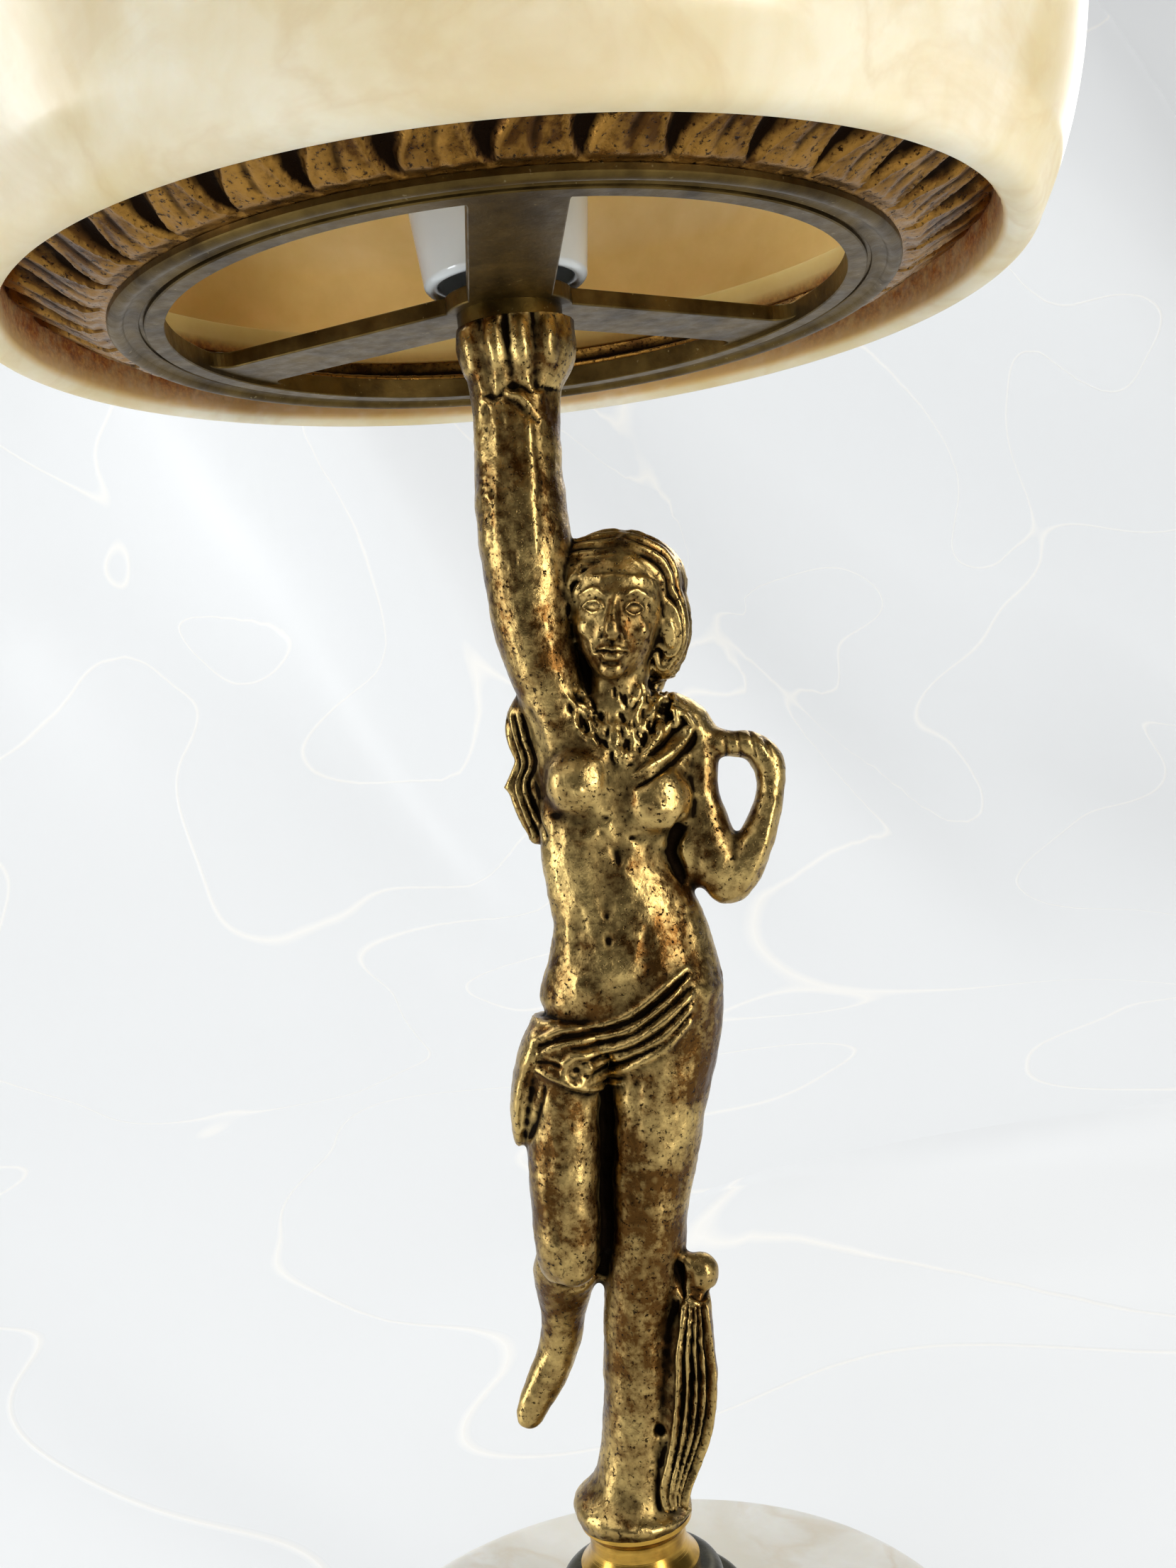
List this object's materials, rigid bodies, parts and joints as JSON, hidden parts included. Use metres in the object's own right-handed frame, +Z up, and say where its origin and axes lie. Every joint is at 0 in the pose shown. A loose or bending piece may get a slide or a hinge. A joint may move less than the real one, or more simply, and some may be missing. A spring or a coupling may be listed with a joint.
{
  "type": "figural table lamp",
  "caption": "Table lamp: a cast brass figure on an alabaster base lifts a spider, a gadrooned gallery and an open alabaster bowl shade round one upright bulb.",
  "frame": {"origin": "on the lamp's axis, at the underside of the base felt", "axes": "+Z up, +X to the figure's left arm, -Y to the front that the figure faces, +Y to the cord inlet"},
  "size_m": [0.3002, 0.3002, 0.518],
  "materials": {
    "alabaster": "polished white alabaster with tan veins",
    "alabaster_base": "polished white alabaster",
    "cast_brass": "antique cast brass, dark in the hollows",
    "turned_brass": "turned and polished brass",
    "dark_brass": "dark patinated brass",
    "spider_brass": "smooth olive-grey patinated brass",
    "felt": "pressed wool felt",
    "plated_steel": "zinc-plated steel",
    "porcelain": "glazed white porcelain",
    "contact_brass": "stamped brass",
    "bush": "moulded black plastic",
    "lead": "black insulated lead",
    "bulb_glass": "opal glass",
    "bulb_cap": "drawn aluminium",
    "bulb_insulator": "black vitrite glass",
    "solder": "dull solder"
  },
  "bodies": {
    "lamp": {"base_felt": "felt", "base_disc": "alabaster_base", "cord_bush": "bush", "base_washer": "plated_steel", "base_nut": "plated_steel", "stem_tube": "plated_steel", "collar_foot": "dark_brass", "collar_neck": "turned_brass", "figure_casting": "cast_brass", "hub_disc": "dark_brass", "hub_nipple": "plated_steel", "hub_nut": "plated_steel", "spider": "spider_brass", "gallery": "dark_brass", "gallery_screws": "plated_steel", "holder_bracket": "plated_steel", "top_nut": "plated_steel", "bracket_screws": "plated_steel", "holder_body": "porcelain", "screw_shell": "contact_brass", "shell_rivet": "contact_brass", "centre_contact": "contact_brass", "terminal_blocks": "contact_brass", "terminal_screws": "plated_steel", "supply_leads": "lead"},
    "bowl": {"bowl_shade": "alabaster"},
    "bulb_foot": {"bulb_tip": "solder"},
    "bulb": {"bulb_insulator": "bulb_insulator", "bulb_cap": "bulb_cap", "bulb_glass": "bulb_glass"}
  },
  "joints": [
    {"name": "bowl_lift", "type": "slide", "parent": "lamp", "child": "bowl", "axis": [0, 0, 1], "range_m": [0, 0.16]},
    {"name": "bulb_rise", "type": "slide", "parent": "lamp", "child": "bulb_foot", "axis": [0, 0, 1], "range_m": [0, 0.01824]},
    {"name": "bulb_turn", "type": "hinge", "parent": "bulb_foot", "child": "bulb", "pos_m": [0, 0, 0.44], "axis": [0, 0, 1], "range_deg": [0, 1800]}
  ],
  "couplings": [
    {"joint": "bulb_rise", "follows": "bulb_turn", "m_per_rad": 0.0005775}
  ]
}
